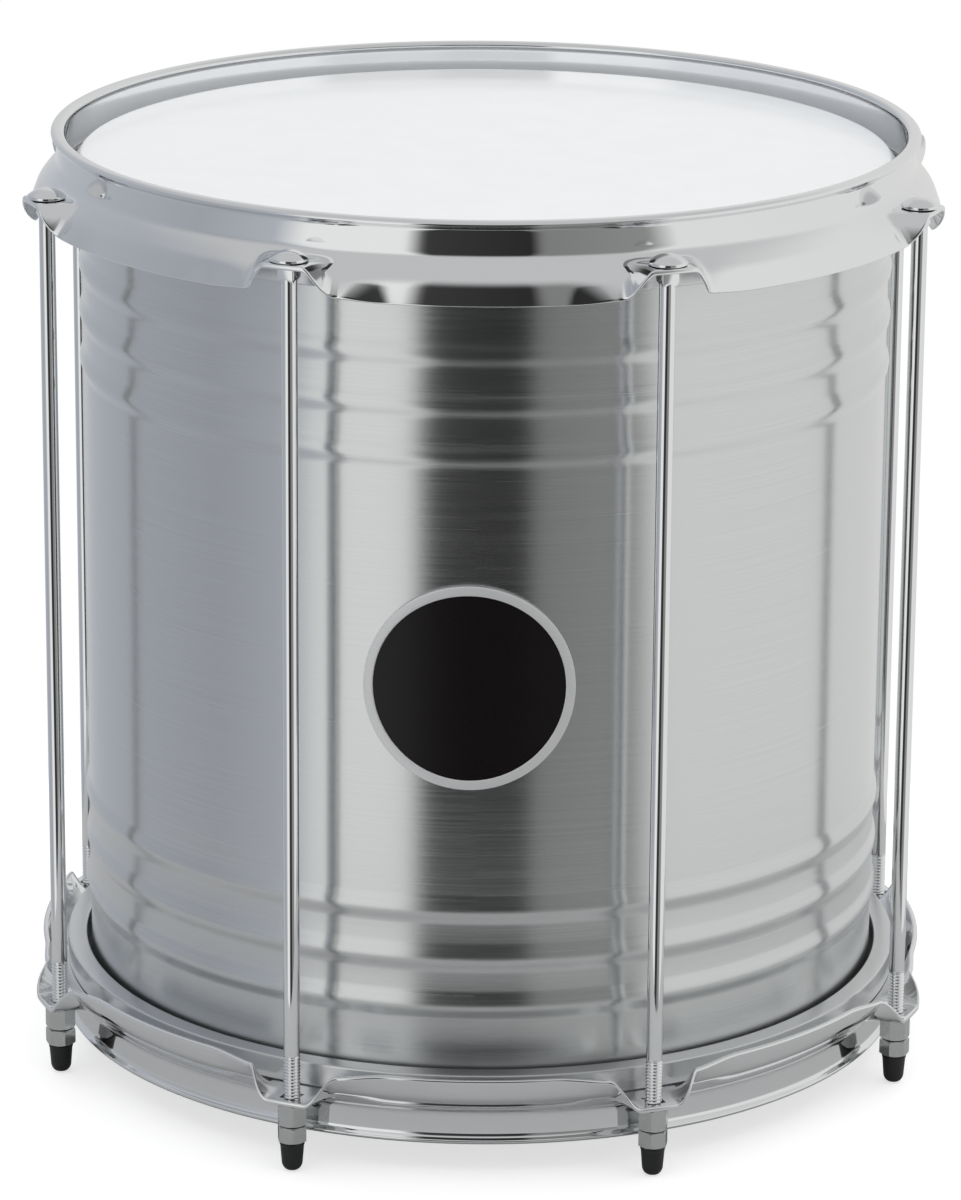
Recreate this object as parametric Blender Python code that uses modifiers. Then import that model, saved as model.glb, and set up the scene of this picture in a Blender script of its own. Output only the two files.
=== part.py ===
"""Repinique: an aluminium drum with a head at each end, tuned by rods that run past the shell.

Blender 4.5 script, in metres, +Z up. The origin is on the drum's axis, on the surface that its eight
rubber end caps stand on. The badge faces -Y. Each physical piece is one object with its own name.
"""
from math import asin, cos, pi, radians, sin, tan

import bmesh
import bpy
from mathutils import Matrix, Vector

# Running gap left between pieces that touch, because meshes hold 32-bit numbers.
GAP = 0.0003

# Shell: spun aluminium tube with raised beads near each end.
SHELL_RADIUS = 0.1520
SHELL_WALL = 0.0015
SHELL_LENGTH = 0.3246
SHELL_EDGE_ROUND = 0.0010
BEADS_PER_END = 3
BEAD_WIDTH = 0.0120
BEAD_HEIGHT = 0.0013
BEAD_PITCH = 0.0185
BEAD_FROM_END = 0.0400

# Heads: film, its collar over the shell's edge and the moulded rim that the flesh hoop holds.
FILM_THICKNESS = 0.0003
COLLAR_DROP = 0.0079
RIM_DEPTH = 0.0060
COLLAR_ROUND = 0.0008

# Flesh hoops: aluminium channels, open towards the film's side.
FLESH_CLEARANCE = 0.0018
FLESH_WIDTH = 0.0074
FLESH_HEIGHT = 0.0090
FLESH_SHEET = 0.0010
FLESH_ROUND = 0.0010

# Triple-flanged hoops: lip, wall, step and a skirt that is pressed out into a flat ear at each rod.
HOOP_SHEET = 0.0020
HOOP_RISE = 0.0097
HOOP_SEAT_WIDTH = 0.0022
LIP_WIDTH = 0.0060
LIP_HEIGHT = 0.0030
LIP_CROWN = 0.0014
LIP_OVERHANG = 0.0003
STEP_FILLET = 0.0030
SHOULDER_LENGTH = 0.0068
SKIRT_LENGTH = 0.0082
SHOULDER_SLOPE = radians(51)
SKIRT_SLOPE = radians(70)
EAR_FLAT = 0.0140
SCALLOP_RUN = 0.0130
FLARE_RUN = 0.0240
FLARE_SHARE = 0.22

# Tension rods: domed head, square neck in the ear's square hole, plain shank and a threaded end.
ROD_COUNT = 8
ROD_OFFSET = 0.0203
HEAD_RADIUS = 0.0071
HEAD_HEIGHT = 0.0037
HEAD_RIM = 0.0009
NECK_SIDE = 0.0064
NECK_BELOW_EAR = 0.0038
NECK_TAPER = 0.0014
SHANK_RADIUS = 0.00295
THREAD_RADIUS = 0.00315
THREAD_LENGTH = 0.0415
ROD_POINT = 0.0008
NECK_END_SHARE = 0.85
EAR_HOLE_CLEARANCE = 0.0003

# Nuts under the lower ears and the caps over the rod ends.
NUT_ACROSS_FLATS = 0.0100
TENSION_NUT_HEIGHT = 0.0085
LOCK_NUT_HEIGHT = 0.0063
NUT_CHAMFER = 0.0006
CAP_RADIUS = 0.0046
CAP_LENGTH = 0.0110
CAP_TAPER = 0.0002
CAP_FOOT_RADIUS = 0.0020
CAP_LIP = 0.0010
CAP_END_WALL = 0.0034

# Badge: a round plate that follows the shell, with a raised rim, a little left of the mid-line.
BADGE_RADIUS = 0.0382
BADGE_RIM_WIDTH = 0.0035
BADGE_PLATE = 0.0008
BADGE_RIM_RISE = 0.0005
BADGE_BEARING = radians(-0.9)
BADGE_RISE = -0.0005

# Facets: every turned ring uses the same count, so nested rings keep their gaps.
RING_STEPS = 32
SMALL_STEPS = 10
BADGE_STEPS = 28
BEAD_STEPS = 4

# Sizes that follow from those above.
SHELL_BORE = SHELL_RADIUS - SHELL_WALL
HALF_SHELL = SHELL_LENGTH / 2
FILM_LEVEL = HALF_SHELL + GAP + FILM_THICKNESS
LIP_LEVEL = FILM_LEVEL + HOOP_RISE
FLESH_LEVEL = FILM_LEVEL - COLLAR_DROP
STEP_DROP = LIP_LEVEL - FLESH_LEVEL - GAP - HOOP_SHEET
EAR_LEVEL = LIP_LEVEL - STEP_DROP
FLESH_INNER = SHELL_RADIUS + FLESH_CLEARANCE
FLESH_OUTER = FLESH_INNER + FLESH_WIDTH
WALL_INNER = FLESH_OUTER - HOOP_SEAT_WIDTH
WALL_OUTER = WALL_INNER + HOOP_SHEET
ROD_CIRCLE = SHELL_RADIUS + ROD_OFFSET
STACK_HEIGHT = CAP_LENGTH + GAP + LOCK_NUT_HEIGHT + GAP + TENSION_NUT_HEIGHT + GAP
MID_HEIGHT = STACK_HEIGHT + EAR_LEVEL
ROD_TOP_SEAT = MID_HEIGHT + EAR_LEVEL + GAP
ROD_END = CAP_END_WALL + GAP
NUT_BORE = THREAD_RADIUS + GAP
CAP_BORE = THREAD_RADIUS + GAP
LOCK_NUT_BASE = CAP_LENGTH + GAP
TENSION_NUT_BASE = LOCK_NUT_BASE + LOCK_NUT_HEIGHT + GAP

COLOURS = {
    "shell": ((0.62, 0.63, 0.64, 1.0), 0.32, 1.0),
    "chrome": ((0.86, 0.87, 0.88, 1.0), 0.06, 1.0),
    "film": ((0.90, 0.92, 0.94, 1.0), 0.18, 0.0),
    "flesh hoop": ((0.70, 0.71, 0.72, 1.0), 0.30, 1.0),
    "nut": ((0.74, 0.75, 0.76, 1.0), 0.22, 1.0),
    "rubber": ((0.012, 0.013, 0.013, 1.0), 0.45, 0.0),
    "badge": ((0.010, 0.008, 0.009, 1.0), 0.25, 0.0),
}


def new_scene():
    """Clear the scene and return the collections for the parts and for the cutters."""
    for old in list(bpy.data.objects):
        bpy.data.objects.remove(old, do_unlink=True)
    made = []
    for name in ("repinique", "cutters"):
        collection = bpy.data.collections.new(name)
        bpy.context.scene.collection.children.link(collection)
        made.append(collection)
    return made


PARTS, CUTTERS = new_scene()


def material(name, finish):
    """A Principled material for one piece, in one of the named finishes."""
    colour, roughness, metallic = COLOURS[finish]
    made = bpy.data.materials.new(name)
    made.use_nodes = True
    shader = made.node_tree.nodes["Principled BSDF"]
    shader.inputs["Base Color"].default_value = colour
    shader.inputs["Roughness"].default_value = roughness
    shader.inputs["Metallic"].default_value = metallic
    made.diffuse_color = colour
    return made


def place(name, mesh, finish=None, collection=None):
    """Link a new object; cutters, which have no finish, stay out of renders."""
    obj = bpy.data.objects.new(name, mesh)
    (collection or PARTS).objects.link(obj)
    if finish is None:
        obj.hide_render = True
        obj.display_type = "WIRE"
    else:
        obj.data.materials.clear()
        obj.data.materials.append(material(name, finish))
    return obj


def mesh_of(name, bm):
    """Close a bmesh into a mesh with outward faces and smooth shading."""
    bmesh.ops.recalc_face_normals(bm, faces=bm.faces)
    mesh = bpy.data.meshes.new(name)
    bm.to_mesh(mesh)
    bm.free()
    mesh.shade_smooth()
    mesh.set_sharp_from_angle(angle=radians(30))
    return mesh


def down_the_outside(profile):
    """Order an (r, z) profile so that it runs down its outer side."""
    closed = list(profile) + [profile[0]]
    area = sum(a[0] * b[1] - b[0] * a[1] for a, b in zip(closed, closed[1:]))
    return list(profile) if area < 0 else list(reversed(profile))


def turned(name, profile, finish, steps=RING_STEPS, ring=True, collection=None):
    """Turn an (r, z) profile about Z: a closed loop for a ring, else a line from axis to axis."""
    points = down_the_outside(profile)
    mesh = bpy.data.meshes.new(name)
    edges = [(i, i + 1) for i in range(len(points) - 1)]
    if ring:
        edges.append((len(points) - 1, 0))
    mesh.from_pydata([(r, 0.0, z) for r, z in points], edges, [])
    obj = place(name, mesh, finish, collection)
    screw = obj.modifiers.new("turn", "SCREW")
    screw.axis = "Z"
    screw.angle = 2 * pi
    screw.steps = steps
    screw.render_steps = steps
    screw.use_merge_vertices = True
    screw.merge_threshold = 0.00001
    return obj


def finished_mesh(obj, name):
    """Bake an object's modifiers into a new mesh, for pieces that share one, and remove the object."""
    bpy.context.view_layer.update()
    graph = bpy.context.evaluated_depsgraph_get()
    mesh = bpy.data.meshes.new_from_object(obj.evaluated_get(graph))
    mesh.name = name
    bpy.data.objects.remove(obj, do_unlink=True)
    mesh.shade_smooth()
    mesh.set_sharp_from_angle(angle=radians(30))
    return mesh


def boolean(obj, cutter, operation):
    """Add an exact Boolean modifier."""
    modifier = obj.modifiers.new(operation.lower(), "BOOLEAN")
    modifier.object = cutter
    modifier.operation = operation
    modifier.solver = "EXACT"


def rod_angle(index):
    """Angle about +Z of rod 0 to 7, the first one being in front on the right."""
    return radians(-90) + (index + 0.5) * 2 * pi / ROD_COUNT


def rod_axis(index):
    """Point of a rod's axis on the standing surface."""
    angle = rod_angle(index)
    return Vector((ROD_CIRCLE * cos(angle), ROD_CIRCLE * sin(angle), 0.0))


def world(side, drop_from_lip):
    """Height of a level that lies below the lip, on the upper (+1) or lower (-1) end."""
    return MID_HEIGHT + side * (LIP_LEVEL - drop_from_lip)


def bead_centres():
    """Distances of the beads from the middle of the shell, on one side."""
    return [HALF_SHELL - BEAD_FROM_END - i * BEAD_PITCH for i in range(BEADS_PER_END)]


def bead_points(centre, samples):
    """A raised-cosine bead: (height above the wall, distance from the middle), outer end first."""
    points = []
    for i in range(samples + 1):
        t = 1 - 2 * i / samples
        points.append((BEAD_HEIGHT * 0.5 * (1 + cos(pi * t)), centre + t * BEAD_WIDTH / 2))
    return points


def make_shell():
    """The shell: beads pressed outwards, so the inside follows them, and rounded bearing edges."""
    outside, inside = [], []
    for centre in bead_centres():
        outside += bead_points(centre, BEAD_STEPS)
        inside += bead_points(centre, BEAD_STEPS // 2)
    mirrored = [(h, -z) for h, z in reversed(outside)]
    outer = [(SHELL_RADIUS + h, z) for h, z in outside + mirrored]
    mirrored = [(h, -z) for h, z in reversed(inside)]
    inner = [(SHELL_BORE + h, z) for h, z in inside + mirrored]
    edge = SHELL_EDGE_ROUND
    top = [(SHELL_BORE + edge / 2, HALF_SHELL), (SHELL_RADIUS, HALF_SHELL - edge)]
    bottom = [(r, -z) for r, z in reversed(top)]
    base = [(SHELL_BORE, -HALF_SHELL + edge)]
    inner_up = list(reversed(inner))
    loop = top + outer + bottom + base + inner_up + [(SHELL_BORE, HALF_SHELL - edge)]
    shell = turned("shell", [(r, z + MID_HEIGHT) for r, z in loop], "shell")
    return shell


def make_head(name, side):
    """A head: flat film, a collar down over the shell's edge, and the rim in the flesh hoop."""
    t = FILM_THICKNESS
    rise = LIP_LEVEL - FILM_LEVEL
    mouth = LIP_LEVEL - FLESH_LEVEL
    rim_in = FLESH_INNER + FLESH_SHEET + GAP
    rim_out = FLESH_OUTER - FLESH_SHEET - GAP
    rim_mid = (rim_in + rim_out) / 2
    edge = SHELL_RADIUS + GAP
    profile = [
        (0.0, rise),
        (edge - COLLAR_ROUND / 2, rise),
        (edge + COLLAR_ROUND / 2, rise + COLLAR_ROUND),
        (rim_mid, mouth - COLLAR_ROUND / 2),
        (rim_out, mouth + COLLAR_ROUND),
        (rim_out, mouth + RIM_DEPTH),
        (rim_in, mouth + RIM_DEPTH),
        (rim_in, mouth + COLLAR_ROUND),
        (edge, rise + t + COLLAR_ROUND),
        (edge - SHELL_EDGE_ROUND, rise + t),
        (0.0, rise + t),
    ]
    return turned(name, [(r, world(side, d)) for r, d in profile], "film", ring=False)


def make_flesh_hoop(name, side):
    """A channel open towards the film: two walls joined by a web with rounded corners."""
    mouth = LIP_LEVEL - FLESH_LEVEL
    web = mouth + FLESH_HEIGHT
    profile = [
        (FLESH_OUTER, mouth),
        (FLESH_OUTER, web - FLESH_ROUND),
        (FLESH_OUTER - FLESH_ROUND, web),
        (FLESH_INNER + FLESH_ROUND, web),
        (FLESH_INNER, web - FLESH_ROUND),
        (FLESH_INNER, mouth),
        (FLESH_INNER + FLESH_SHEET, mouth),
        (FLESH_INNER + FLESH_SHEET, web - FLESH_SHEET),
        (FLESH_OUTER - FLESH_SHEET, web - FLESH_SHEET),
        (FLESH_OUTER - FLESH_SHEET, mouth),
    ]
    return turned(name, [(r, world(side, d)) for r, d in profile], "flesh hoop")


def smooth_step(t):
    """Rise from 0 to 1 with level ends."""
    t = min(max(t, 0.0), 1.0)
    return t * t * (3 - 2 * t)


def ear_share(arc):
    """How far the flange is pressed out into an ear, at a distance round the hoop from a rod."""
    beyond = abs(arc) - EAR_FLAT / 2
    scallop = 1 - smooth_step(beyond / SCALLOP_RUN)
    flare = FLARE_SHARE * (1 - smooth_step((beyond - SCALLOP_RUN * 0.5) / FLARE_RUN))
    return max(scallop, flare) if beyond > 0 else 1.0


def hoop_section(share):
    """Closed (r, drop) section of a hoop where the flange is pressed out by the given share."""
    lip_mid = (WALL_INNER + WALL_OUTER) / 2 + LIP_OVERHANG
    lip_in, lip_out = lip_mid - LIP_WIDTH / 2, lip_mid + LIP_WIDTH / 2
    lip = [
        (WALL_INNER, LIP_HEIGHT),
        (lip_in, LIP_HEIGHT * 0.5),
        (lip_in + LIP_CROWN, 0.0),
        (lip_out - LIP_CROWN, 0.0),
        (lip_out, LIP_HEIGHT * 0.5),
        (WALL_OUTER, LIP_HEIGHT),
    ]
    foot = WALL_OUTER + STEP_FILLET
    wall = [(WALL_OUTER, STEP_DROP - STEP_FILLET), (foot, STEP_DROP)]
    shoulder_angle = SHOULDER_SLOPE * (1 - share)
    skirt_angle = SKIRT_SLOPE * (1 - share)
    bend = (foot + SHOULDER_LENGTH * cos(shoulder_angle), STEP_DROP + SHOULDER_LENGTH * sin(shoulder_angle))
    edge = (bend[0] + SKIRT_LENGTH * cos(skirt_angle), bend[1] + SKIRT_LENGTH * sin(skirt_angle))
    half_turn = (shoulder_angle + skirt_angle) / 2
    mitre = HOOP_SHEET / cos((skirt_angle - shoulder_angle) / 2)
    under_edge = (edge[0] - HOOP_SHEET * sin(skirt_angle), edge[1] + HOOP_SHEET * cos(skirt_angle))
    under_bend = (bend[0] - mitre * sin(half_turn), bend[1] + mitre * cos(half_turn))
    under_foot = (foot - HOOP_SHEET * tan(shoulder_angle / 2), STEP_DROP + HOOP_SHEET)
    under_step = (WALL_INNER, STEP_DROP + HOOP_SHEET)
    return lip + wall + [bend, edge, under_edge, under_bend, under_foot, under_step]


def hoop_stations():
    """Angles round the hoop where its section is set: close together at the ears."""
    sector = 2 * pi / ROD_COUNT
    ear_edge = (EAR_FLAT / 2) / ROD_CIRCLE
    run = SCALLOP_RUN / ROD_CIRCLE
    offsets = [0.0] + [ear_edge + run * share for share in (0.0, 0.36, 0.68, 1.1)]
    both = [-a for a in reversed(offsets[1:])] + offsets + [sector / 2]
    return [rod_angle(k) + a for k in range(ROD_COUNT) for a in both], both


def make_hoop(name, side):
    """A triple-flanged hoop, lofted round its stations, with a square hole in each ear."""
    angles, offsets = hoop_stations()
    bm = bmesh.new()
    loops = []
    for i, angle in enumerate(angles):
        share = ear_share(offsets[i % len(offsets)] * ROD_CIRCLE)
        loop = []
        for r, drop in hoop_section(share):
            loop.append(bm.verts.new((r * cos(angle), r * sin(angle), world(side, drop))))
        loops.append(loop)
    for here, there in zip(loops, loops[1:] + loops[:1]):
        for j in range(len(here)):
            k = (j + 1) % len(here)
            bm.faces.new((here[j], here[k], there[k], there[j]))
    hoop = place(name, mesh_of(name, bm), "chrome")
    boolean(hoop, ear_punches(name + "_punches", side), "DIFFERENCE")
    return hoop


def ear_punches(name, side):
    """Square punches through the ears of one hoop."""
    width = NECK_SIDE + 2 * EAR_HOLE_CLEARANCE
    height = world(side, STEP_DROP + HOOP_SHEET / 2)
    bm = bmesh.new()
    for k in range(ROD_COUNT):
        turn = Matrix.Rotation(rod_angle(k), 4, "Z")
        move = Matrix.Translation(rod_axis(k) + Vector((0, 0, height)))
        size = Matrix.Diagonal((width, width, HOOP_SHEET * 3, 1.0))
        bmesh.ops.create_cube(bm, size=1.0, matrix=move @ turn @ size)
    return place(name, mesh_of(name, bm), collection=CUTTERS)


def rod_mesh():
    """One rod, standing on its own axis: domed head, square neck, shank and threaded end."""
    seat = ROD_TOP_SEAT
    dome = (HEAD_RADIUS**2 + (HEAD_HEIGHT - HEAD_RIM) ** 2) / (2 * (HEAD_HEIGHT - HEAD_RIM))
    centre = seat + HEAD_HEIGHT - dome
    sweep = asin(HEAD_RADIUS / dome)
    profile = [(dome * sin(sweep * i / 3), centre + dome * cos(sweep * i / 3)) for i in range(4)]
    neck_end = MID_HEIGHT + EAR_LEVEL - HOOP_SHEET - NECK_BELOW_EAR
    thread_top = ROD_END + THREAD_LENGTH
    profile += [
        (HEAD_RADIUS, seat),
        (SHANK_RADIUS, seat),
        (SHANK_RADIUS, thread_top),
        (THREAD_RADIUS, thread_top - (THREAD_RADIUS - SHANK_RADIUS)),
        (THREAD_RADIUS, ROD_END + ROD_POINT),
        (THREAD_RADIUS - ROD_POINT, ROD_END),
        (0.0, ROD_END),
    ]
    rod = turned("rod_blank", profile, "chrome", steps=SMALL_STEPS, ring=False)
    bm = bmesh.new()
    top, height = seat + HEAD_RIM / 2, seat + HEAD_RIM / 2 - neck_end
    move = Matrix.Translation((0, 0, top - height / 2))
    size = Matrix.Diagonal((NECK_SIDE, NECK_SIDE, height, 1.0))
    made = bmesh.ops.create_cube(bm, size=1.0, matrix=move @ size)
    lower = [v for v in made["verts"] if v.co.z < top - height / 2]
    bm.faces.ensure_lookup_table()
    floor = next(f for f in bm.faces if all(v in lower for v in f.verts))
    tip = bmesh.ops.extrude_discrete_faces(bm, faces=[floor])["faces"][0]
    for v in tip.verts:
        v.co.x *= NECK_END_SHARE * 2 * SHANK_RADIUS / NECK_SIDE
        v.co.y *= NECK_END_SHARE * 2 * SHANK_RADIUS / NECK_SIDE
        v.co.z -= NECK_TAPER
    neck = place("neck_blank", mesh_of("neck_blank", bm), collection=CUTTERS)
    boolean(rod, neck, "UNION")
    mesh = finished_mesh(rod, "tension_rod")
    bpy.data.objects.remove(neck, do_unlink=True)
    return mesh


def nut_mesh(name, height):
    """A hexagon nut that stands on z = 0, with chamfered rims and a round bore."""
    bm = bmesh.new()
    corner = NUT_ACROSS_FLATS / 2 / cos(pi / 6)
    lift = Matrix.Translation((0, 0, height / 2))
    bmesh.ops.create_cone(
        bm, cap_ends=True, segments=6, radius1=corner, radius2=corner, depth=height, matrix=lift
    )
    rims = [e for e in bm.edges if abs(e.verts[0].co.z - e.verts[1].co.z) < height / 2]
    bmesh.ops.bevel(bm, geom=rims, offset=NUT_CHAMFER, segments=1, affect="EDGES", profile=0.5)
    nut = place(name + "_blank", mesh_of(name + "_blank", bm), "nut")
    bm = bmesh.new()
    bmesh.ops.create_cone(
        bm, cap_ends=True, segments=SMALL_STEPS, radius1=NUT_BORE, radius2=NUT_BORE, depth=height * 2, matrix=lift
    )
    drill = place("nut_drill", mesh_of("nut_drill", bm), collection=CUTTERS)
    boolean(nut, drill, "DIFFERENCE")
    mesh = finished_mesh(nut, name)
    bpy.data.objects.remove(drill, do_unlink=True)
    return mesh


def cap_mesh():
    """A rubber cap: lipped, tapered sleeve, rounded end with a small flat foot, and a blind bore."""
    side = CAP_RADIUS - CAP_TAPER
    rounding = side - CAP_FOOT_RADIUS
    sleeve = [
        (0.0, CAP_END_WALL),
        (CAP_BORE, CAP_END_WALL),
        (CAP_BORE, CAP_LENGTH),
        (CAP_RADIUS, CAP_LENGTH),
        (CAP_RADIUS, CAP_LENGTH - CAP_LIP),
        (side, CAP_LENGTH - CAP_LIP - CAP_TAPER),
    ]
    angles = (0.0, pi / 4, pi / 2)
    end = [(CAP_FOOT_RADIUS + rounding * cos(a), rounding * (1 - sin(a))) for a in angles]
    blank = turned("cap_blank", sleeve + end + [(0.0, 0.0)], "rubber", steps=SMALL_STEPS, ring=False)
    return finished_mesh(blank, "end_cap")


def make_tuning():
    """Rods, nuts and caps: one mesh of each, placed on every rod's axis."""
    rods, caps = rod_mesh(), cap_mesh()
    tension, lock = nut_mesh("tension_nut", TENSION_NUT_HEIGHT), nut_mesh("lock_nut", LOCK_NUT_HEIGHT)
    kinds = (
        ("tension_rod", rods, 0.0, "chrome"),
        ("tension_nut", tension, TENSION_NUT_BASE, "nut"),
        ("lock_nut", lock, LOCK_NUT_BASE, "nut"),
        ("end_cap", caps, 0.0, "rubber"),
    )
    for kind, mesh, height, finish in kinds:
        finish_material = material(kind, finish)
        mesh.materials.clear()
        mesh.materials.append(finish_material)
        for k in range(ROD_COUNT):
            obj = bpy.data.objects.new(f"{kind}_{k + 1}", mesh)
            obj.location = rod_axis(k) + Vector((0, 0, height))
            obj.rotation_euler.z = rod_angle(k)
            PARTS.objects.link(obj)


def make_badge():
    """The badge: a disc bent round the shell, its rim raised a little above the field."""
    field = BADGE_RADIUS - BADGE_RIM_WIDTH
    inner = SHELL_RADIUS + GAP
    face = inner + BADGE_PLATE
    radii = [(field / 2, face), (field, face)]
    radii += [(field, face + BADGE_RIM_RISE), (BADGE_RADIUS, face + BADGE_RIM_RISE)]
    radii += [(BADGE_RADIUS, inner), (field, inner), (field / 2, inner)]
    bm = bmesh.new()

    def bent(flat_radius, turn, depth):
        across, up = flat_radius * cos(turn), flat_radius * sin(turn)
        bearing = BADGE_BEARING + across / SHELL_RADIUS
        height = MID_HEIGHT + BADGE_RISE + up
        return bm.verts.new((depth * sin(bearing), -depth * cos(bearing), height))

    front, back = bent(0.0, 0.0, face), bent(0.0, 0.0, inner)
    loops = [[bent(r, 2 * pi * i / BADGE_STEPS, depth) for i in range(BADGE_STEPS)] for r, depth in radii]
    for i in range(BADGE_STEPS):
        j = (i + 1) % BADGE_STEPS
        bm.faces.new((front, loops[0][i], loops[0][j]))
        bm.faces.new((back, loops[-1][j], loops[-1][i]))
        for here, there in zip(loops, loops[1:]):
            bm.faces.new((here[i], there[i], there[j], here[j]))
    return place("badge", mesh_of("badge", bm), "badge")


def main():
    make_shell()
    make_badge()
    for label, side in (("batter", 1), ("resonant", -1)):
        make_head(f"{label}_head", side)
        make_flesh_hoop(f"{label}_flesh_hoop", side)
        make_hoop(f"{label}_hoop", side)
    make_tuning()


main()
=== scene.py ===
"""Finished look of a repinique: fine meshes, procedural materials, a plain studio and the camera."""
from math import asin, atan2, cos, floor, pi, radians, sin, sqrt, tan

import bmesh
import bpy
from bpy.props import FloatProperty, FloatVectorProperty, IntProperty, PointerProperty
from bpy.types import Operator, Panel, PropertyGroup
from mathutils import Matrix, Vector


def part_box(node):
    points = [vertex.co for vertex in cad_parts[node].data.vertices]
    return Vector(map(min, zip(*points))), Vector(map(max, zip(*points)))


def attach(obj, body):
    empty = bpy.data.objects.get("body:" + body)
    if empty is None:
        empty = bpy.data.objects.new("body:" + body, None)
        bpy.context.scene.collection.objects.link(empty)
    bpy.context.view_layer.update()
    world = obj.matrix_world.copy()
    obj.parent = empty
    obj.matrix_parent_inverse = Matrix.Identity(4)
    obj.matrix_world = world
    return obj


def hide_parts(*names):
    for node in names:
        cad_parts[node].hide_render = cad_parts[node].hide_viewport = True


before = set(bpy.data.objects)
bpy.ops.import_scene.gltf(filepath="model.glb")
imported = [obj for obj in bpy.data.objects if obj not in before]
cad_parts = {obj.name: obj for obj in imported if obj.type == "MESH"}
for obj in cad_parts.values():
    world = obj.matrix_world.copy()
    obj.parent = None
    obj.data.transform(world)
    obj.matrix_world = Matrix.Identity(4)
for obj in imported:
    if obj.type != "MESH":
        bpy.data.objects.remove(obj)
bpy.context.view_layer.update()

bl_info = {
    "name": "Repinique drum",
    "version": (1, 0, 0),
    "blender": (4, 5, 0),
    "location": "3D View > Sidebar > Repinique",
    "description": "Builds the drum's finished pieces and a plain studio around the fixed frame",
    "category": "Object",
}

ENDS = (("batter", 1), ("resonant", -1))
ROD_COUNT = sum(1 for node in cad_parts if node.startswith("tension_rod_"))

# Clearances: between pieces that seat on each other, between shell and flesh hoop, and between the
# badge's field and its rim.
GAP = 0.0003
FLESH_CLEARANCE = 0.0018
FIELD_CLEARANCE = 0.00005

# Slopes: of the hoop's shoulder and skirt between two ears, and of a nut's turned-off corners.
SHOULDER_SLOPE = radians(51)
SKIRT_SLOPE = radians(70)
NUT_CORNER_SLOPE = radians(28)

# Roundings of corners. A rounding takes no more than EDGE_SHARE of the edge that it starts on.
SHEET_ROUND = 0.0022
CHANNEL_ROUND = 0.0009
FILM_ROUND = 0.0008
ROD_HEAD_ROUND = 0.0004
NECK_ROUND = 0.0005
CAP_ROUND = 0.0003
BADGE_RIM_ROUND = 0.0004
EDGE_SHARE = 0.46

# Facets and samples.
RING_STEPS = 192
SMALL_STEPS = 48
SHANK_STEPS = 32
NUT_STEPS = 72
BADGE_STEPS = 96
FLOOR_STEPS = 96
BEAD_STEPS = 16
DOME_STEPS = 12
FIELD_STEPS = 10
CAP_END_STEPS = 8
THREAD_ROWS_PER_TURN = 8

# Faces that meet at more than these angles keep a sharp edge.
SHARP_ANGLE = radians(38)
THREAD_SHARP_ANGLE = radians(50)
NUT_SHARP_ANGLE = radians(20)

ON_AXIS = 1e-9
RELIEF_DEPTH = 0.0001


def length(label, text, value):
    """A length property in metres."""
    return FloatProperty(name=label, description=text, default=value, min=0.0, unit="LENGTH", precision=5)


def share(label, text, value):
    """A property from 0 to 1."""
    return FloatProperty(name=label, description=text, default=value, min=0.0, max=1.0, subtype="FACTOR")


def colour(label, text, value):
    """A linear colour property."""
    return FloatVectorProperty(
        name=label, description=text, default=value, size=3, min=0.0, max=1.0, subtype="COLOR"
    )


def angular(label, text, value):
    """An angle property in radians."""
    return FloatProperty(name=label, description=text, default=value, subtype="ANGLE")


def count(label, text, value):
    """A whole-number property."""
    return IntProperty(name=label, description=text, default=value, min=3)


class ShellSettings(PropertyGroup):
    """Turned aluminium shell."""

    wall: length("Wall", "Thickness of the shell's sheet", 0.0015)
    edge: length("Edge round", "Rounding of each bearing edge", 0.0010)
    beads: IntProperty(name="Beads", description="Raised beads near each end", default=3, min=0)
    bead_width: length("Bead width", "Width of a bead along the shell", 0.0120)
    bead_height: length("Bead height", "How far a bead stands out", 0.0013)
    bead_pitch: length("Bead pitch", "Distance between neighbouring beads", 0.0185)
    bead_from_end: length("First bead", "Distance of the first bead from the shell's end", 0.0400)
    steps: count("Facets", "Facets round the shell", 192)
    metal: colour("Metal", "Colour of the turned aluminium", (0.70, 0.715, 0.72))
    roughness: share("Roughness", "Roughness of the turned finish", 0.24)


class HoopSettings(PropertyGroup):
    """Chromed triple-flanged hoops and the flesh hoops under them."""

    sheet: length("Sheet", "Thickness of the hoop's sheet", 0.0020)
    lip_width: length("Lip width", "Width of the rolled lip", 0.0060)
    lip_height: length("Lip height", "Height of the rolled lip", 0.0030)
    lip_crown: length("Lip crown", "Slope at each side of the lip's crown", 0.0014)
    lip_overhang: length("Lip overhang", "How far the lip's middle leans out over the wall", 0.0003)
    fillet: length("Fillet", "Fillet between wall and step", 0.0030)
    shoulder: length("Shoulder", "Length of the sloping shoulder", 0.0068)
    skirt: length("Skirt", "Length of the steep skirt", 0.0082)
    ear: length("Ear", "Flat width of each ear", 0.0140)
    scallop: length("Scallop", "Length over which the skirt turns up beside an ear", 0.0130)
    flare: length("Flare", "Length of the gentle flare beside a scallop", 0.0240)
    flare_share: share("Flare amount", "How far the gentle flare turns the skirt up", 0.22)
    seat: length("Seat", "Width of the hoop's wall over the flesh hoop", 0.0022)
    channel: length("Channel sheet", "Thickness of the flesh hoop's channel", 0.0010)
    chrome: colour("Chrome", "Colour of the chrome", (0.84, 0.85, 0.86))
    aluminium: colour("Aluminium", "Colour of the flesh hoops", (0.70, 0.71, 0.72))
    steps: count("Stations", "Sections lofted between two ears", 64)


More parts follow.
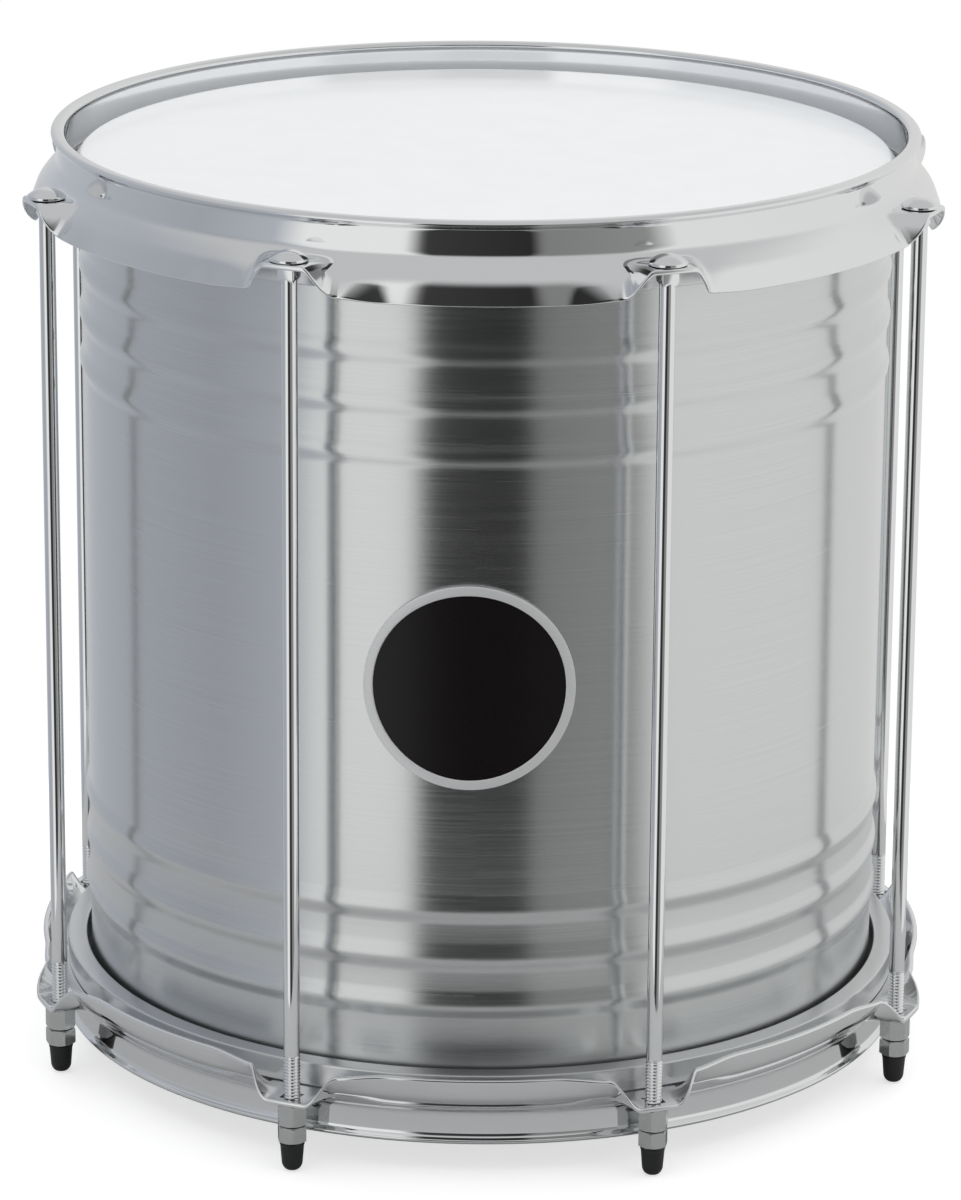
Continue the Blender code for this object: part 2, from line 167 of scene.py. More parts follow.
class HeadSettings(PropertyGroup):
    """White film heads."""

    film: length("Film", "Thickness of the film", 0.0003)
    collar_round: length("Collar round", "Rounding where the film turns down", 0.0008)
    rim_depth: length("Rim depth", "Depth of the film's rim in its channel", 0.0060)
    white: colour("White", "Colour of the film", (0.91, 0.925, 0.94))
    roughness: share("Roughness", "Roughness of the film", 0.14)


class TuningSettings(PropertyGroup):
    """Rods, nuts and caps."""

    head_radius: length("Head radius", "Radius of a rod's domed head", 0.0071)
    head_height: length("Head height", "Height of a rod's head", 0.0037)
    head_rim: length("Head rim", "Height of the rim under the dome", 0.0009)
    neck: length("Neck", "Side of the square neck", 0.0064)
    neck_below: length("Neck drop", "How far the neck shows below its ear", 0.0038)
    shank: length("Shank radius", "Radius of a rod's plain shank", 0.00295)
    thread: length("Thread radius", "Outer radius of the thread", 0.00315)
    thread_length: length("Thread length", "Length of the threaded end", 0.0415)
    pitch: length("Pitch", "Distance between turns of the thread", 0.00127)
    flats: length("Across flats", "Width of a nut across its flats", 0.0100)
    bore: length("Bore", "Radius of the bore in a nut and in a cap", 0.00345)
    cap_radius: length("Cap radius", "Radius of a rubber cap at its lip", 0.0046)
    cap_foot: length("Cap foot", "Radius of the flat on which a cap stands", 0.0014)
    cap_belly: length("Cap belly", "Radius of a cap where its end starts to round", 0.0039)
    cap_round: length("Cap rounding", "Height of a cap's rounded end", 0.0034)
    cap_wall: length("Cap end wall", "Rubber under the rod's end", 0.0034)
    cap_lip: length("Cap lip", "Height of the lip at a cap's mouth", 0.0010)
    cap_taper: length("Cap taper", "How far a cap narrows below its lip", 0.0002)
    plating: colour("Plating", "Colour of the plated nuts", (0.60, 0.615, 0.61))
    rubber: colour("Rubber", "Colour of the caps", (0.012, 0.013, 0.013))


class BadgeSettings(PropertyGroup):
    """Round badge with a bare field."""

    radius: length("Radius", "Outer radius of the badge", 0.0382)
    rim: length("Rim", "Width of the silver rim", 0.0035)
    plate: length("Plate", "Thickness of the badge's plate", 0.0008)
    rise: length("Rise", "How far the rim stands above the field", 0.0005)
    bearing: angular("Bearing", "Turn of the badge round the shell", radians(-0.9))
    drop: length("Drop", "How far its centre lies below mid height", 0.0005)
    silver: colour("Silver", "Colour of the rim", (0.86, 0.87, 0.88))
    black: colour("Black", "Colour of the field", (0.010, 0.008, 0.009))


class StudioSettings(PropertyGroup):
    """Camera, floor and light."""

    lens: FloatProperty(name="Lens", description="Focal length in mm on a 36 mm long side", default=162.47)
    distance: length("Distance", "From the camera to the point it looks at", 2.08598)
    elevation: angular("Elevation", "Camera above the horizon", 0.29727)
    azimuth: angular("Azimuth", "Camera to the right of front", 0.01497)
    roll: angular("Roll", "Tilt of the camera", 0.00709)
    aim_height: length("Aim height", "Height of the point that the camera looks at", 0.16988)
    aim_side: FloatProperty(
        name="Aim side", description="How far that point lies to the right, m", default=-0.00088
    )
    floor: length("Floor radius", "Radius of the floor disc", 0.34)
    ambient: FloatProperty(name="Ambient", description="Strength of the tent's light", default=0.88)
    key: FloatProperty(name="Key", description="Power of the overhead softbox in watts", default=23.0)


SETTINGS = (
    ("repinique_shell", ShellSettings),
    ("repinique_hoop", HoopSettings),
    ("repinique_head", HeadSettings),
    ("repinique_tuning", TuningSettings),
    ("repinique_badge", BadgeSettings),
    ("repinique_studio", StudioSettings),
)


def middle_height():
    """Height of the shell's middle."""
    low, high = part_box("shell")
    return (low.z + high.z) / 2


def shell_radius(bead_height):
    """Radius of the shell's plain wall, from the beads' outer radius in the frame."""
    low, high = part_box("shell")
    return (high.x - low.x) / 2 - bead_height


def rod_axis(index):
    """Axis of a rod: its x and y and its angle about Z."""
    low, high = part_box(f"tension_rod_{index}")
    centre = (low + high) / 2
    return centre.x, centre.y, atan2(centre.y, centre.x)


class Mesh:
    """Points and faces gathered from several closed shapes."""

    def __init__(self):
        self.points, self.faces = [], []

    def rings(self, rows, closed=False):
        """Join rows of equally many points; a row of one point is a pole."""
        starts = []
        for row in rows:
            starts.append(len(self.points))
            self.points.extend(row)
        pairs = list(zip(range(len(rows)), range(1, len(rows))))
        if closed:
            pairs.append((len(rows) - 1, 0))
        for a, b in pairs:
            self.band(starts[a], len(rows[a]), starts[b], len(rows[b]))

    def band(self, a, a_count, b, b_count):
        """Faces between two rows."""
        steps = max(a_count, b_count)
        for i in range(steps):
            j = (i + 1) % steps
            if a_count == 1:
                self.faces.append((a, b + i, b + j))
            elif b_count == 1:
                self.faces.append((a + i, b, a + j))
            else:
                self.faces.append((a + i, b + i, b + j, a + j))

    def turned(self, profile, steps, ring=False):
        """Turn an (r, z) profile about Z."""
        turns = [2 * pi * i / steps for i in range(steps)]
        rows = []
        for r, z in profile:
            if r < ON_AXIS:
                rows.append([(0.0, 0.0, z)])
            else:
                rows.append([(r * cos(turn), r * sin(turn), z) for turn in turns])
        self.rings(rows, closed=ring)

    def made(self, name, sharp=SHARP_ANGLE):
        """The mesh, with outward faces and smooth shading."""
        mesh = bpy.data.meshes.new(name)
        mesh.from_pydata(self.points, [], self.faces)
        bm = bmesh.new()
        bm.from_mesh(mesh)
        bmesh.ops.recalc_face_normals(bm, faces=bm.faces)
        bm.to_mesh(mesh)
        bm.free()
        mesh.shade_smooth()
        mesh.set_sharp_from_angle(angle=sharp)
        return mesh


def rounded(points, radius, samples=4, closed=True):
    """Round the corners of a line of (r, z) points, each within its own edges."""
    made, last = [], len(points) - 1
    for i, point in enumerate(points):
        here = Vector(point)
        if not closed and i in (0, last):
            made.append(tuple(here))
            continue
        before, after = Vector(points[i - 1]), Vector(points[(i + 1) % len(points)])
        cut = min(radius, EDGE_SHARE * (here - before).length, EDGE_SHARE * (after - here).length)
        start = here + (before - here).normalized() * cut
        end = here + (after - here).normalized() * cut
        for k in range(samples + 1):
            t = k / samples
            made.append(tuple(start * (1 - t) ** 2 + here * 2 * t * (1 - t) + end * t * t))
    return made


def piece(name, mesh, material, body, replaced):
    """Link a finished piece, ride it on its body and let it stand for its node."""
    obj = bpy.data.objects.new(name, mesh)
    bpy.context.scene.collection.objects.link(obj)
    if material:
        mesh.materials.clear()
        mesh.materials.append(material)
    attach(obj, body)
    if replaced:
        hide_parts(replaced)
    return obj


def group_socket(group, name, kind, way, default=None):
    """Add a socket to a node group."""
    socket = group.interface.new_socket(name=name, in_out=way, socket_type=kind)
    if default is not None:
        socket.default_value = default


def math_node(tree, operation, first, second=None):
    """A Math node fed by sockets or numbers; returns its output."""
    node = tree.nodes.new("ShaderNodeMath")
    node.operation = operation
    for socket, value in zip(node.inputs, (first, second)):
        if isinstance(value, bpy.types.NodeSocket):
            tree.links.new(value, socket)
        elif value is not None:
            socket.default_value = value
    return node.outputs[0]


def effect_group(name, spacing, per_metre, roughness, variation, tone):
    """An empty node group with the sockets that every surface effect here has."""
    tree = bpy.data.node_groups.new(name, "ShaderNodeTree")
    group_socket(tree, spacing, "NodeSocketFloat", "INPUT", per_metre)
    group_socket(tree, "Roughness", "NodeSocketFloat", "INPUT", roughness)
    group_socket(tree, "Variation", "NodeSocketFloat", "INPUT", variation)
    group_socket(tree, "Colour", "NodeSocketColor", "INPUT", (tone, tone, tone, 1.0))
    group_socket(tree, "Roughness", "NodeSocketFloat", "OUTPUT")
    group_socket(tree, "Colour", "NodeSocketColor", "OUTPUT")
    group_socket(tree, "Height", "NodeSocketFloat", "OUTPUT")
    return tree


def vary_surface(tree, enter, leave, noise):
    """Let a noise swing roughness and tone about their own values, and put it out as the height."""
    centred = math_node(tree, "SUBTRACT", noise.outputs[0], 0.5)
    swing = math_node(tree, "MULTIPLY", centred, enter.outputs["Variation"])
    tree.links.new(math_node(tree, "ADD", enter.outputs["Roughness"], swing), leave.inputs["Roughness"])
    tint = tree.nodes.new("ShaderNodeHueSaturation")
    tree.links.new(enter.outputs["Colour"], tint.inputs["Color"])
    tree.links.new(math_node(tree, "ADD", 1.0, swing), tint.inputs["Value"])
    tree.links.new(tint.outputs[0], leave.inputs["Colour"])
    tree.links.new(noise.outputs[0], leave.inputs["Height"])


def turned_grain():
    """Node group: fine lines left round Z by turning or brushing."""
    found = bpy.data.node_groups.get("Turned grain")
    if found:
        return found
    tree = effect_group("Turned grain", "Lines per metre", 2600.0, roughness=0.3, variation=0.08, tone=0.7)
    patches_round = 1.5
    enter, leave = tree.nodes.new("NodeGroupInput"), tree.nodes.new("NodeGroupOutput")
    place = tree.nodes.new("ShaderNodeTexCoord")
    split = tree.nodes.new("ShaderNodeSeparateXYZ")
    tree.links.new(place.outputs["Object"], split.inputs[0])
    turn = math_node(tree, "ARCTAN2", split.outputs["X"], split.outputs["Y"])
    join = tree.nodes.new("ShaderNodeCombineXYZ")
    tree.links.new(math_node(tree, "MULTIPLY", turn, patches_round), join.inputs["X"])
    lines = math_node(tree, "MULTIPLY", split.outputs["Z"], enter.outputs["Lines per metre"])
    tree.links.new(lines, join.inputs["Z"])
    noise = tree.nodes.new("ShaderNodeTexNoise")
    noise.inputs["Scale"].default_value = 1.0
    noise.inputs["Detail"].default_value = 3.0
    tree.links.new(join.outputs[0], noise.inputs["Vector"])
    vary_surface(tree, enter, leave, noise)
    return tree


def handling_marks():
    """Node group: faint cloudy smudges and specks that vary roughness and tone."""
    found = bpy.data.node_groups.get("Handling marks")
    if found:
        return found
    tree = effect_group("Handling marks", "Patches per metre", 30.0, roughness=0.1, variation=0.04, tone=0.8)
    enter, leave = tree.nodes.new("NodeGroupInput"), tree.nodes.new("NodeGroupOutput")
    place = tree.nodes.new("ShaderNodeTexCoord")
    noise = tree.nodes.new("ShaderNodeTexNoise")
    noise.inputs["Detail"].default_value = 5.0
    tree.links.new(place.outputs["Object"], noise.inputs["Vector"])
    tree.links.new(enter.outputs["Patches per metre"], noise.inputs["Scale"])
    vary_surface(tree, enter, leave, noise)
    return tree


def finish_material(name, effect, base, *, roughness, metallic, scale, variation, bump, **constants):
    """A Principled material whose colour, roughness and bump come from a shared effect.

    The scale feeds the effect's first input, which each effect names in its own way.
    """
    found = bpy.data.materials.get(name)
    if found:
        return found
    made = bpy.data.materials.new(name)
    made.use_nodes = True
    tree = made.node_tree
    shader = tree.nodes["Principled BSDF"]
    group = tree.nodes.new("ShaderNodeGroup")
    group.node_tree = effect
    group.inputs[0].default_value = scale
    group.inputs["Roughness"].default_value = roughness
    group.inputs["Variation"].default_value = variation
    group.inputs["Colour"].default_value = (*base, 1.0)
    tree.links.new(group.outputs["Colour"], shader.inputs["Base Color"])
    tree.links.new(group.outputs["Roughness"], shader.inputs["Roughness"])
    shader.inputs["Metallic"].default_value = metallic
    for socket, value in constants.items():
        shader.inputs[socket.replace("_", " ")].default_value = value
    if bump:
        relief = tree.nodes.new("ShaderNodeBump")
        relief.inputs["Strength"].default_value = bump
        relief.inputs["Distance"].default_value = RELIEF_DEPTH
        tree.links.new(group.outputs["Height"], relief.inputs["Height"])
        tree.links.new(relief.outputs[0], shader.inputs["Normal"])
    made.diffuse_color = (*base, 1.0)
    return made


def turned_metal(name, base, roughness, anisotropy):
    """Metal brushed round Z: its highlights run along Z."""
    made = finish_material(
        name, turned_grain(), base, roughness=roughness, metallic=1.0, scale=2600.0, variation=0.16,
        bump=0.22, Anisotropic=anisotropy, Anisotropic_Rotation=0.25,
    )
    tree = made.node_tree
    tangent = tree.nodes.new("ShaderNodeTangent")
    tangent.direction_type = "RADIAL"
    tangent.axis = "Z"
    tree.links.new(tangent.outputs[0], tree.nodes["Principled BSDF"].inputs["Tangent"])
    return made


def chrome(settings):
    """Polished chrome."""
    return finish_material(
        "Polished chrome", handling_marks(), settings.chrome,
        roughness=0.05, metallic=1.0, scale=40.0, variation=0.03, bump=0.0,
    )


def bead_line(settings, base, middle, half):
    """One side of the shell from its upper to its lower end, following the beads."""
    centres = [half - settings.bead_from_end - i * settings.bead_pitch for i in range(settings.beads)]
    upper = []
    for centre in centres:
        for i in range(BEAD_STEPS + 1):
            t = 1 - 2 * i / BEAD_STEPS
            height = settings.bead_height * 0.5 * (1 + cos(pi * t))
            upper.append((height, centre + t * settings.bead_width / 2))
    lower = [(h, -z) for h, z in reversed(upper)]
    return [(base + h, middle + z) for h, z in upper + lower]


def build_shell(settings):
    """The shell with beads pressed outwards and rounded bearing edges."""
    radius, middle = shell_radius(settings.bead_height), middle_height()
    low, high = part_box("shell")
    half, edge, bore = (high.z - low.z) / 2, settings.edge, radius - settings.wall
    outer = bead_line(settings, radius, middle, half)
    inner = list(reversed(bead_line(settings, bore, middle, half)))
    top = [(bore, middle + half - edge), (bore + edge / 2, middle + half), (radius, middle + half - edge)]
    bottom = [(r, 2 * middle - z) for r, z in reversed(top)]
    mesh = Mesh()
    edges = rounded(top, edge / 3, samples=3, closed=False)
    mesh.turned(edges + outer + bottom + inner, settings.steps, ring=True)
    metal = turned_metal("Turned aluminium", settings.metal, settings.roughness, anisotropy=0.88)
    piece("shell_finish", mesh.made("shell_finish"), metal, "drum", "shell")


def ear_share(settings, arc):
    """How far the flange is pressed out at a distance round the hoop from a rod."""
    def smooth(t):
        t = min(max(t, 0.0), 1.0)
        return t * t * (3 - 2 * t)

    beyond = abs(arc) - settings.ear / 2
    if beyond <= 0:
        return 1.0
    scallop = 1 - smooth(beyond / settings.scallop)
    flare = settings.flare_share * (1 - smooth((beyond - settings.scallop * 0.5) / settings.flare))
    return max(scallop, flare)


def hoop_section(settings, pressed, inner, drop):
    """Closed (r, drop) section of a hoop, its corners rounded as pressed sheet is."""
    sheet, outer = settings.sheet, inner + settings.sheet
    lip_mid = (inner + outer) / 2 + settings.lip_overhang
    lip_in, lip_out = lip_mid - settings.lip_width / 2, lip_mid + settings.lip_width / 2
    crown, high = settings.lip_crown, settings.lip_height
    foot = outer + settings.fillet
    slope, steep = SHOULDER_SLOPE * (1 - pressed), SKIRT_SLOPE * (1 - pressed)
    bend = (foot + settings.shoulder * cos(slope), drop + settings.shoulder * sin(slope))
    edge = (bend[0] + settings.skirt * cos(steep), bend[1] + settings.skirt * sin(steep))
    half, mitre = (slope + steep) / 2, sheet / cos((steep - slope) / 2)
    corners = [
        (inner, high),
        (lip_in, high / 2),
        (lip_in + crown, 0.0),
        (lip_out - crown, 0.0),
        (lip_out, high / 2),
        (outer, high),
        (outer, drop - settings.fillet),
        (foot, drop),
        bend,
        edge,
        (edge[0] - sheet * sin(steep), edge[1] + sheet * cos(steep)),
        (bend[0] - mitre * sin(half), bend[1] + mitre * cos(half)),
        (foot - sheet * tan(slope / 2), drop + sheet),
        (inner, drop + sheet),
    ]
    return rounded(corners, SHEET_ROUND)


def build_hoops(settings):
    """Both triple-flanged hoops, lofted, with a square hole in each ear.

    The stations crowd at the ears: only this share of their spacing is even.
    """
    even = 0.4
    sector = 2 * pi / ROD_COUNT
    tuning = bpy.context.scene.repinique_tuning
    for label, side in ENDS:
        low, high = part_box(f"{label}_hoop")
        flesh_low, flesh_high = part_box(f"{label}_flesh_hoop")
        lip = high.z if side > 0 else low.z
        mouth = flesh_high.z if side > 0 else flesh_low.z
        drop = abs(lip - mouth) - GAP - settings.sheet
        inner = (flesh_high.x - flesh_low.x) / 2 - settings.seat
        circle = sqrt(sum(value**2 for value in rod_axis(1)[:2]))
        rows = []
        for index in range(1, ROD_COUNT + 1):
            start = rod_axis(index)[2]
            for i in range(settings.steps):
                t = 2 * i / settings.steps - 1
                offset = sector / 2 * (even * t + (1 - even) * t**3)
                section = hoop_section(settings, ear_share(settings, offset * circle), inner, drop)
                angle = start + offset
                rows.append([(r * cos(angle), r * sin(angle), lip - side * d) for r, d in section])
        loft = Mesh()
        loft.rings(rows, closed=True)
        name = f"{label}_hoop_finish"
        hoop = piece(name, loft.made(name), None, "drum", f"{label}_hoop")
        ear_middle = lip - side * (drop + settings.sheet / 2)
        punch = ear_punches(f"{label}_punches", tuning.neck + 2 * GAP, ear_middle)
        cut = hoop.modifiers.new("ear holes", "BOOLEAN")
        cut.object, cut.operation, cut.solver = punch, "DIFFERENCE", "EXACT"
        bpy.context.view_layer.update()
        graph = bpy.context.evaluated_depsgraph_get()
        mesh = bpy.data.meshes.new_from_object(hoop.evaluated_get(graph))
        hoop.modifiers.clear()
        hoop.data = mesh
        bpy.data.objects.remove(punch, do_unlink=True)
        mesh.shade_smooth()
        mesh.set_sharp_from_angle(angle=SHARP_ANGLE)
        mesh.materials.clear()
        mesh.materials.append(chrome(settings))


def ear_punches(name, width, height):
    """Square punches on the rods' axes, longer than the sheet is thick."""
    tall = 0.008
    bm = bmesh.new()
    for index in range(1, ROD_COUNT + 1):
        x, y, angle = rod_axis(index)
        move = Matrix.Translation((x, y, height)) @ Matrix.Rotation(angle, 4, "Z")
        bmesh.ops.create_cube(bm, size=1.0, matrix=move @ Matrix.Diagonal((width, width, tall, 1.0)))
    mesh = bpy.data.meshes.new(name)
    bm.to_mesh(mesh)
    bm.free()
    obj = bpy.data.objects.new(name, mesh)
    bpy.context.scene.collection.objects.link(obj)
    obj.hide_render = True
    return obj


def build_flesh_hoops(settings):
    """Both aluminium channels, open towards the film."""
    metal = turned_metal("Turned flesh hoop", settings.aluminium, roughness=0.30, anisotropy=0.5)
    for label, side in ENDS:
        low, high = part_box(f"{label}_flesh_hoop")
        mouth, web = (high.z, low.z) if side > 0 else (low.z, high.z)
        outer = (high.x - low.x) / 2
        inner_wall = shell_radius(bpy.context.scene.repinique_shell.bead_height) + FLESH_CLEARANCE
        sheet = settings.channel
        profile = [
            (outer, mouth),
            (outer, web),
            (inner_wall, web),
            (inner_wall, mouth),
            (inner_wall + sheet, mouth),
            (inner_wall + sheet, web + side * sheet),
            (outer - sheet, web + side * sheet),
            (outer - sheet, mouth),
        ]
        mesh = Mesh()
        mesh.turned(rounded(profile, CHANNEL_ROUND), RING_STEPS, ring=True)
        name = f"{label}_flesh_hoop_finish"
        piece(name, mesh.made(name), metal, "drum", f"{label}_flesh_hoop")


def build_heads(settings):
    """Both heads: flat film, its collar over the shell's edge and its rim in the channel."""
    film = finish_material(
        "White film", handling_marks(), settings.white, roughness=settings.roughness, metallic=0.0,
        scale=60.0, variation=0.05, bump=0.02, Coat_Weight=0.0,
    )
    shell = bpy.context.scene.repinique_shell
    wall = shell_radius(shell.bead_height)
    edge, flat_band = wall + GAP, 0.004
    sheet = bpy.context.scene.repinique_hoop.channel
    for label, side in ENDS:
        low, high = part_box(f"{label}_head")
        flesh_low, flesh_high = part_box(f"{label}_flesh_hoop")
        top = high.z if side > 0 else low.z
        mouth = flesh_high.z if side > 0 else flesh_low.z
        rim_out = (flesh_high.x - flesh_low.x) / 2 - sheet - GAP
        rim_in = wall + FLESH_CLEARANCE + sheet + GAP
        r = settings.collar_round
        profile = [
            (0.0, top),
            (edge - flat_band, top),
            (edge - r / 2, top),
            (edge + r / 2, top - side * r),
            ((rim_in + rim_out) / 2, mouth + side * r / 2),
            (rim_out, mouth - side * r),
            (rim_out, mouth - side * settings.rim_depth),
            (rim_in, mouth - side * settings.rim_depth),
            (rim_in, mouth - side * r),
            (edge, top - side * (settings.film + r)),
            (edge - shell.edge, top - side * settings.film),
            (0.0, top - side * settings.film),
        ]
        mesh = Mesh()
        mesh.turned(rounded(profile, FILM_ROUND, samples=3, closed=False), RING_STEPS)
        name = f"{label}_head_finish"
        piece(name, mesh.made(name), film, "drum", f"{label}_head")


def rod_finish_mesh(settings, low, high):
    """A rod on its own axis: domed head, square neck, shank and a cut thread."""
    foot_height, foot_share = 0.0014, 0.78
    overlap, depth_share, blunt_start = 0.0005, 0.5, 0.2
    mesh = Mesh()
    shank, pitch = settings.shank, settings.pitch
    seat = high - settings.head_height
    rise = settings.head_height - settings.head_rim
    dome = (settings.head_radius**2 + rise**2) / (2 * rise)
    sweep, centre = asin(settings.head_radius / dome), high - dome
    angles = [sweep * i / DOME_STEPS for i in range(DOME_STEPS + 1)]
    line = [(dome * sin(a), centre + dome * cos(a)) for a in angles]
    rim = [line[-1], (settings.head_radius, seat), (shank, seat)]
    corner = rounded(rim, ROD_HEAD_ROUND, samples=3, closed=False)
    mesh.turned(line + corner[1:] + [(0.0, seat)], SMALL_STEPS)
    neck_low = seat - GAP - bpy.context.scene.repinique_hoop.sheet - settings.neck_below
    half = settings.neck / 2
    square = rounded([(half, half), (-half, half), (-half, -half), (half, -half)], NECK_ROUND, samples=3)
    levels = [(neck_low - foot_height, foot_share), (neck_low, 1.0), (seat + settings.head_rim / 2, 1.0)]
    rows = [[(0.0, 0.0, levels[0][0])]]
    rows += [[(x * grow, y * grow, z) for x, y in square] for z, grow in levels]
    rows.append([(0.0, 0.0, levels[-1][0])])
    mesh.rings(rows)
    thread_top = low + settings.thread_length
    shank_end = thread_top - overlap
    mesh.turned([(0.0, seat), (shank, seat), (shank, shank_end), (0.0, shank_end)], SHANK_STEPS)
    depth = pitch * depth_share
    count_rows = int((thread_top - low) / pitch * THREAD_ROWS_PER_TURN)
    rows = [[(0.0, 0.0, low)]]
    for k in range(count_rows + 1):
        z = low + (thread_top - low) * k / count_rows
        fade = min(1.0, (thread_top - z) / pitch, (z - low) / pitch + blunt_start)
        row = []
        for i in range(SHANK_STEPS):
            turn = 2 * pi * i / SHANK_STEPS
            phase = z / pitch - i / SHANK_STEPS
            ridge = 1 - abs(2 * (phase - floor(phase)) - 1)
            groove = depth * (1 - ridge) * fade
            run_out = (1 - fade) * (settings.thread - shank)
            radius = settings.thread - groove - run_out
            row.append((radius * cos(turn), radius * sin(turn), z))
        rows.append(row)
    rows.append([(0.0, 0.0, thread_top)])
    mesh.rings(rows)
    return mesh.made("tension_rod_finish", THREAD_SHARP_ANGLE)


def nut_finish_mesh(settings, name, low, high):
    """A hexagon nut, a hair inside its solid, whose corners are turned off at both faces."""
    crown_share, inset = 0.96, 0.999
    flat = settings.flats / 2
    crown, fall = flat * crown_share, tan(NUT_CORNER_SLOPE)
    rows = []
    for bottom in (False, True):
        pair = []
        for kind in ("bore", "crown", "side"):
            row = []
            for i in range(NUT_STEPS):
                angle = 2 * pi * i / NUT_STEPS
                local = (angle % (pi / 3)) - pi / 6
                hexagon = flat / cos(local) * inset
                radius = {"bore": settings.bore, "crown": crown, "side": hexagon}[kind]
                down = max(0.0, hexagon - crown) * fall if kind == "side" else 0.0
                z = low + down if bottom else high - down
                row.append((radius * cos(angle + pi / 6), radius * sin(angle + pi / 6), z))
            pair.append(row)
        rows += reversed(pair) if bottom else pair
    mesh = Mesh()
    mesh.rings(rows, closed=True)
    return mesh.made(name, NUT_SHARP_ANGLE)


def cap_finish_mesh(settings, low, high):
    """A rubber cap with a lip, a slight taper and a rounded end."""
    side, foot = settings.cap_radius - settings.cap_taper, settings.cap_foot
    belly, turn_up, wall = settings.cap_belly, settings.cap_round, settings.cap_wall
    bore, mouth, lip_base = settings.bore, settings.cap_radius, high - settings.cap_lip
    sleeve = [(0.0, low + wall), (bore, low + wall), (bore, high), (mouth, high)]
    sleeve += [(mouth, lip_base), (side, lip_base - settings.cap_taper)]
    angles = [pi / 2 * i / CAP_END_STEPS for i in range(CAP_END_STEPS + 1)]
    end = [(foot + (belly - foot) * cos(a), low + turn_up * (1 - sin(a))) for a in angles]
    mesh = Mesh()
    mesh.turned(rounded(sleeve, CAP_ROUND, samples=3, closed=False) + end + [(0.0, low)], SMALL_STEPS)
    return mesh.made("end_cap_finish")


def build_tuning(settings):
    """Rods, nuts and caps: one mesh of each kind, placed on every rod's axis."""
    hoop = bpy.context.scene.repinique_hoop
    nut_metal = finish_material(
        "Plated nut", handling_marks(), settings.plating,
        roughness=0.26, metallic=1.0, scale=300.0, variation=0.12, bump=0.15,
    )
    rubber = finish_material(
        "Black rubber", handling_marks(), settings.rubber,
        roughness=0.42, metallic=0.0, scale=400.0, variation=0.10, bump=0.25,
    )
    levels = {kind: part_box(f"{kind}_1") for kind in ("tension_rod", "tension_nut", "lock_nut", "end_cap")}
    span = {kind: (low.z, high.z) for kind, (low, high) in levels.items()}
    rod = rod_finish_mesh(settings, *span["tension_rod"])
    tension_nut = nut_finish_mesh(settings, "tension_nut", *span["tension_nut"])
    lock_nut = nut_finish_mesh(settings, "lock_nut", *span["lock_nut"])
    cap = cap_finish_mesh(settings, *span["end_cap"])
    kinds = (
        ("tension_rod", rod, chrome(hoop), "drum", "rod_chrome"),
        ("tension_nut", tension_nut, nut_metal, "nuts", "nut_steel"),
        ("lock_nut", lock_nut, nut_metal, "nuts", "nut_steel"),
        ("end_cap", cap, rubber, "cap", "cap_rubber"),
    )
    for kind, mesh, material, body, slot in kinds:
        mesh.materials.append(material)
        for index in range(1, ROD_COUNT + 1):
            x, y, angle = rod_axis(index)
            obj = bpy.data.objects.new(f"{kind}_{index}_finish", mesh)
            obj.location, obj.rotation_euler = (x, y, 0.0), (0.0, 0.0, angle)
            bpy.context.scene.collection.objects.link(obj)
            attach(obj, "drum" if body == "drum" else f"{body}_{index}")
            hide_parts(f"{kind}_{index}")


def build_badge(settings):
    """The badge: a raised silver rim and a bare black field, both bent round the shell."""
    shell = shell_radius(bpy.context.scene.repinique_shell.bead_height)
    inner = shell + GAP
    face, top = inner + settings.plate, inner + settings.plate + settings.rise
    height = middle_height() - settings.drop

    def bent(section):
        rows = []
        for flat_radius, depth in section:
            row = []
            for i in range(BADGE_STEPS if flat_radius > ON_AXIS else 1):
                turn = 2 * pi * i / BADGE_STEPS
                bearing = settings.bearing + flat_radius * cos(turn) / shell
                row.append((depth * sin(bearing), -depth * cos(bearing), height + flat_radius * sin(turn)))
            rows.append(row)
        return rows

    hollow, outer = settings.radius - settings.rim, settings.radius
    rim_line = [(hollow, inner), (hollow, top), (outer, top), (outer, inner)]
    rim = Mesh()
    rim.rings(bent(rounded(rim_line, BADGE_RIM_ROUND)), closed=True)
    silver = finish_material(
        "Badge silver", handling_marks(), settings.silver,
        roughness=0.30, metallic=0.15, scale=120.0, variation=0.05, bump=0.0,
    )
    piece("badge_rim", rim.made("badge_rim"), silver, "drum", "badge")
    inside = hollow - FIELD_CLEARANCE
    field = Mesh()
    levels = [inside * i / FIELD_STEPS for i in range(FIELD_STEPS + 1)]
    line = [(r, face) for r in levels] + [(r, inner) for r in reversed(levels)]
    field.rings(bent(line))
    black = finish_material(
        "Badge black", handling_marks(), settings.black, roughness=0.28, metallic=0.0, scale=120.0,
        variation=0.06, bump=0.0, Specular_IOR_Level=0.25,
    )
    piece("badge_field", field.made("badge_field"), black, "drum", "badge")


def ray_mask(tree, names):
    """1 for the named kinds of ray, else 0."""
    path = tree.nodes.new("ShaderNodeLightPath")
    total = path.outputs[names[0]]
    for name in names[1:]:
        total = math_node(tree, "MAXIMUM", total, path.outputs[name])
    return total


